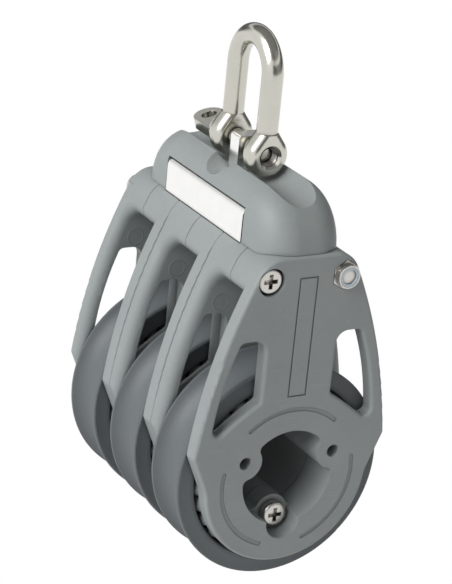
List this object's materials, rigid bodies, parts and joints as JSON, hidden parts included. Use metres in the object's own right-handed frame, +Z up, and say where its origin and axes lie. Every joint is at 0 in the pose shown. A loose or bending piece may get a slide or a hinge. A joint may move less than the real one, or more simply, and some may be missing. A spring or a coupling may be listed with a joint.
{
  "type": "triple block",
  "caption": "Sailing block with ball bearing sheaves side by side in open moulded cheeks, hung from a moulded head with a steel strap, a post and a D shackle.",
  "frame": {"origin": "centre of the middle sheave", "axes": "+Y along the axle away from the front cheek, +Z up to the shackle, X across the block"},
  "size_m": [0.06, 0.0778, 0.1425],
  "materials": {
    "shell_plastic": "satin moulded grey",
    "sheave_plastic": "satin moulded dark grey",
    "ball_plastic": "smooth moulded",
    "stainless": "plain stainless",
    "polished_steel": "polished stainless",
    "nylon": "pale blue white"
  },
  "bodies": {
    "shackle": {"shackle_bow": "polished_steel", "shackle_pin": "polished_steel"},
    "housing": {"front_shell_1": "shell_plastic", "front_shell_2": "shell_plastic", "front_shell_3": "shell_plastic", "head": "shell_plastic", "hub_screws_1": "stainless", "hub_screws_2": "stainless", "hub_screws_3": "stainless", "load_strap": "polished_steel", "lock_nut_left": "stainless", "lock_nut_right": "stainless", "locking_ring_left": "nylon", "locking_ring_right": "nylon", "long_bolt_left": "stainless", "long_bolt_right": "stainless", "rear_shell_1": "shell_plastic", "rear_shell_2": "shell_plastic", "rear_shell_3": "shell_plastic", "shackle_post": "polished_steel"},
    "sheave_body_1": {"sheave_1": "sheave_plastic"},
    "ball_rows_1": {"balls_front_1": "ball_plastic", "balls_rear_1": "ball_plastic"},
    "sheave_body_2": {"sheave_2": "sheave_plastic"},
    "ball_rows_2": {"balls_front_2": "ball_plastic", "balls_rear_2": "ball_plastic"},
    "sheave_body_3": {"sheave_3": "sheave_plastic"},
    "ball_rows_3": {"balls_front_3": "ball_plastic", "balls_rear_3": "ball_plastic"}
  },
  "joints": [
    {"name": "housing_swing", "type": "hinge", "parent": "shackle", "child": "housing", "pos_m": [0, 0, 0.08], "axis": [0, 1, 0], "range_deg": [-70, 70]},
    {"name": "sheave_spin_1", "type": "hinge", "parent": "housing", "child": "sheave_body_1", "pos_m": [0, -0.0247, 0], "axis": [0, 1, 0], "continuous": true},
    {"name": "ball_rows_roll_1", "type": "hinge", "parent": "housing", "child": "ball_rows_1", "pos_m": [0, -0.0247, 0], "axis": [0, 1, 0], "continuous": true},
    {"name": "sheave_spin_2", "type": "hinge", "parent": "housing", "child": "sheave_body_2", "pos_m": [0, 0, 0], "axis": [0, 1, 0], "continuous": true},
    {"name": "ball_rows_roll_2", "type": "hinge", "parent": "housing", "child": "ball_rows_2", "pos_m": [0, 0, 0], "axis": [0, 1, 0], "continuous": true},
    {"name": "sheave_spin_3", "type": "hinge", "parent": "housing", "child": "sheave_body_3", "pos_m": [0, 0.0247, 0], "axis": [0, 1, 0], "continuous": true},
    {"name": "ball_rows_roll_3", "type": "hinge", "parent": "housing", "child": "ball_rows_3", "pos_m": [0, 0.0247, 0], "axis": [0, 1, 0], "continuous": true}
  ],
  "couplings": [
    {"joint": "ball_rows_roll_1", "follows": "sheave_spin_1", "ratio": 0.5538},
    {"joint": "ball_rows_roll_2", "follows": "sheave_spin_2", "ratio": 0.5538},
    {"joint": "ball_rows_roll_3", "follows": "sheave_spin_3", "ratio": 0.5538}
  ]
}
